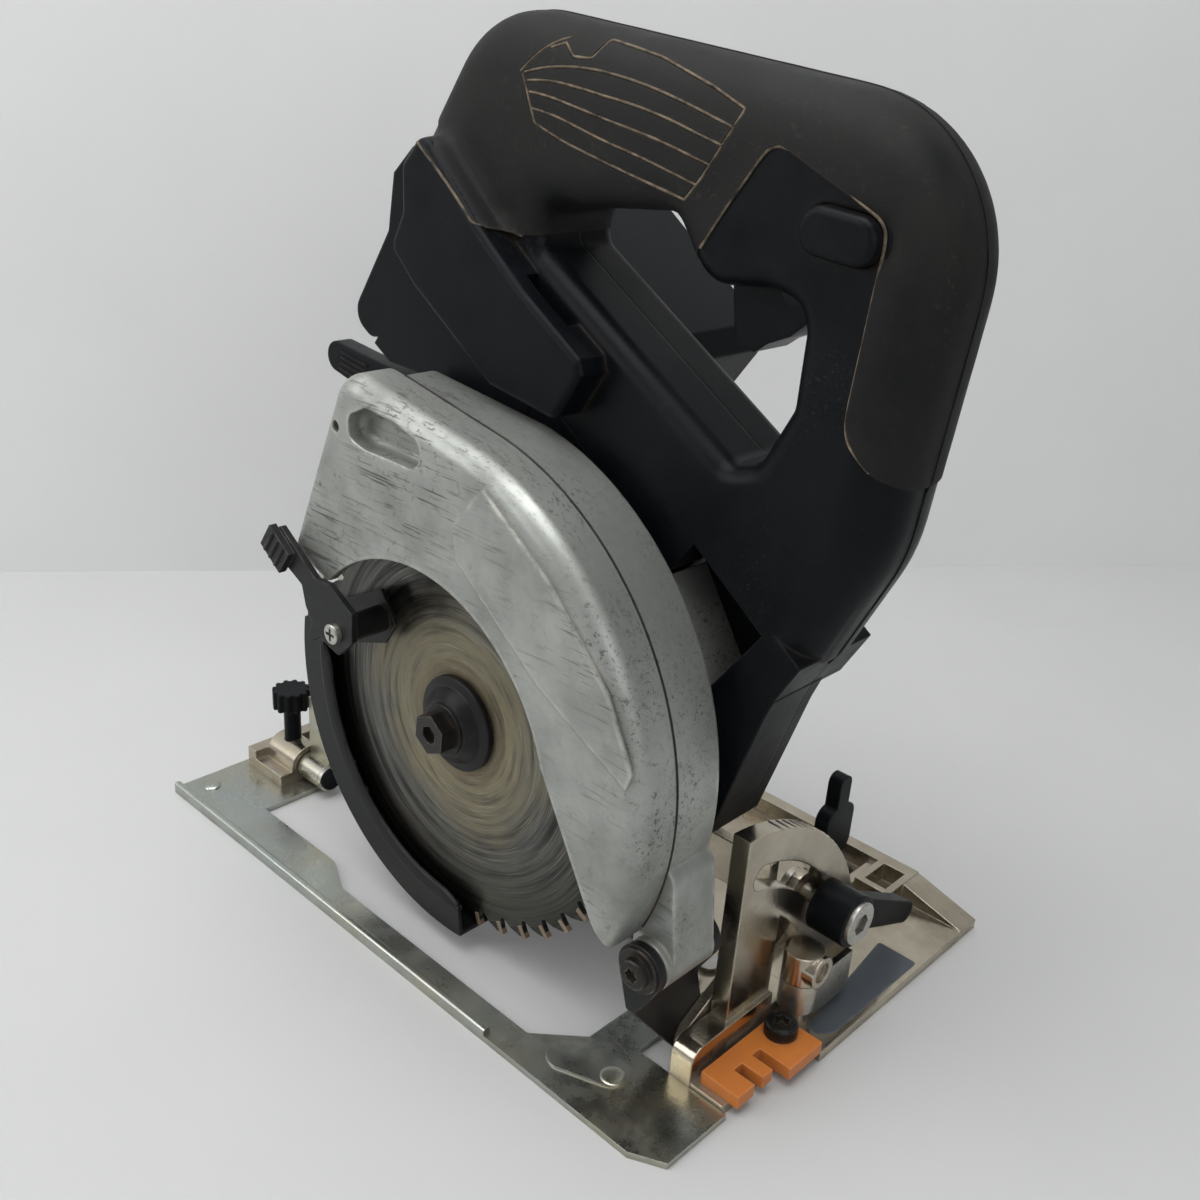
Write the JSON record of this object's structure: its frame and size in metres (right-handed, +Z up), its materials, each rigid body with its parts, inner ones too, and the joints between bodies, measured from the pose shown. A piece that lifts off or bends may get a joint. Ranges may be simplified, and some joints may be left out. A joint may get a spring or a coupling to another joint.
{
  "type": "cordless_circular_saw",
  "caption": "Cordless circular saw on its bevel base: silver blade case, black arched handle, 165 mm blade, spring guard, depth and bevel locks; no battery pack fitted.",
  "frame": {"origin": "on the sole, straight under the arbor, in the plane of the blade", "axes": "+X is the cutting direction, +Y points to the motor side, +Z is up from the sole"},
  "size_m": [0.3037, 0.1905, 0.3277],
  "materials": {
    "cast_nickel": "satin nickel plated casting",
    "silver_paint": "silver grey painted casting, scuffed",
    "zinc_steel": "zinc plated steel with a faint rainbow tint",
    "blade_steel": "ground steel with brown resin stains",
    "bright_steel": "machined bright steel",
    "black_metal": "black painted steel",
    "black_plastic": "textured glass filled nylon",
    "grip_rubber": "moulded rubber with dust in the grooves",
    "orange_plastic": "orange moulded plastic",
    "gear_steel": "hardened steel",
    "core_steel": "stacked steel core"
  },
  "bodies": {
    "base": {"base_shoe": "cast_nickel", "base_strip": "zinc_steel", "strip_screws": "zinc_steel", "cut_sight": "orange_plastic", "sight_screw": "black_metal", "stop_post": "cast_nickel"},
    "carriage": {"front_bracket": "black_metal", "bevel_arm": "cast_nickel", "rear_bracket": "zinc_steel", "depth_plate": "zinc_steel", "front_bevel_pin": "bright_steel", "rear_bevel_pin": "bright_steel", "bevel_lock_bolt": "zinc_steel", "depth_pivot_screw": "black_metal"},
    "saw_body": {"case_outer": "silver_paint", "case_inner": "silver_paint", "case_screws": "bright_steel", "motor_housing": "black_plastic", "motor_cap": "black_plastic", "handle_right": "black_plastic", "handle_left": "black_plastic", "grip_right": "grip_rubber", "grip_left": "grip_rubber", "handle_screws": "bright_steel", "battery_housing": "black_plastic", "terminal_block": "black_plastic", "switch": "black_plastic", "control_board": "black_plastic", "stator": "core_steel", "spindle_bearing": "bright_steel", "spindle_tail_bearing": "bright_steel", "rotor_bearing": "bright_steel", "rotor_tail_bearing": "bright_steel", "depth_lock_bolt": "zinc_steel", "guard_spring": "bright_steel"},
    "blade_shaft": {"saw_blade": "blade_steel", "inner_flange": "black_metal", "outer_flange": "black_metal", "arbor_bolt": "black_metal", "spindle": "bright_steel", "drive_gear": "gear_steel"},
    "motor_shaft": {"rotor": "core_steel", "fan": "black_plastic"},
    "guard": {"lower_guard": "black_metal", "guard_lever": "black_metal", "guard_lever_screw": "bright_steel"},
    "trigger": {"trigger": "black_plastic"},
    "lockoff": {"lockoff_button": "black_plastic"},
    "shaft_lock": {"shaft_lock": "black_plastic"},
    "depth_lever": {"depth_lever": "black_plastic"},
    "bevel_lever": {"bevel_lever": "black_plastic"},
    "stop_lever": {"stop_lever": "zinc_steel"},
    "wing_bolt": {"wing_bolt": "black_plastic"},
    "thumb_screw": {"thumb_screw": "black_plastic"}
  },
  "joints": [
    {"name": "bevel_tilt", "type": "hinge", "parent": "base", "child": "carriage", "pos_m": [0, 0.02, 0.009], "axis": [1, 0, 0], "range_deg": [0, 45]},
    {"name": "depth_swing", "type": "hinge", "parent": "carriage", "child": "saw_body", "pos_m": [0.1, 0.005, 0.052], "axis": [0, 1, 0], "range_deg": [-35, 0]},
    {"name": "blade_spin", "type": "hinge", "parent": "saw_body", "child": "blade_shaft", "pos_m": [0, 0, 0.095], "axis": [0, 1, 0], "continuous": true},
    {"name": "motor_spin", "type": "hinge", "parent": "saw_body", "child": "motor_shaft", "pos_m": [0.00436, 0.06, 0.12215], "axis": [0, 1, 0], "continuous": true},
    {"name": "guard_swing", "type": "hinge", "parent": "saw_body", "child": "guard", "pos_m": [0, 0, 0.095], "axis": [0, 1, 0], "range_deg": [0, 110], "stiffness_Nm_per_rad": 0.12, "springref_deg": -40.11},
    {"name": "trigger_pull", "type": "hinge", "parent": "saw_body", "child": "trigger", "pos_m": [0.10153, 0.042, 0.2644], "axis": [0, 1, 0], "range_deg": [0, 8], "stiffness_Nm_per_rad": 1, "springref_deg": -4.01},
    {"name": "lockoff_push", "type": "slide", "parent": "saw_body", "child": "lockoff", "axis": [0, 1, 0], "range_m": [0, 0.003], "stiffness_N_per_m": 600, "springref_m": -0.002},
    {"name": "shaft_lock_push", "type": "slide", "parent": "saw_body", "child": "shaft_lock", "axis": [-0.8192, 0, 0.5736], "range_m": [0, 0.003], "stiffness_N_per_m": 600, "springref_m": -0.002},
    {"name": "depth_lever_turn", "type": "hinge", "parent": "saw_body", "child": "depth_lever", "pos_m": [-0.05938, 0.028, 0.19151], "axis": [0, -1, 0], "range_deg": [0, 35]},
    {"name": "bevel_lever_turn", "type": "hinge", "parent": "carriage", "child": "bevel_lever", "pos_m": [0.119, 0.07629, 0.0415], "axis": [1, 0, 0], "range_deg": [0, 60]},
    {"name": "stop_turn", "type": "hinge", "parent": "base", "child": "stop_lever", "pos_m": [0.1195, 0.0565, 0.018], "axis": [0, 0, -1], "range_deg": [0, 60]},
    {"name": "wing_turn", "type": "hinge", "parent": "base", "child": "wing_bolt", "pos_m": [0.082, 0.129, 0.02], "axis": [0, 0, 1], "continuous": true},
    {"name": "thumb_turn", "type": "hinge", "parent": "base", "child": "thumb_screw", "pos_m": [-0.139, 0.02, 0.03], "axis": [0, 0, 1], "continuous": true}
  ],
  "couplings": [
    {"joint": "motor_spin", "follows": "blade_spin", "ratio": -4}
  ]
}
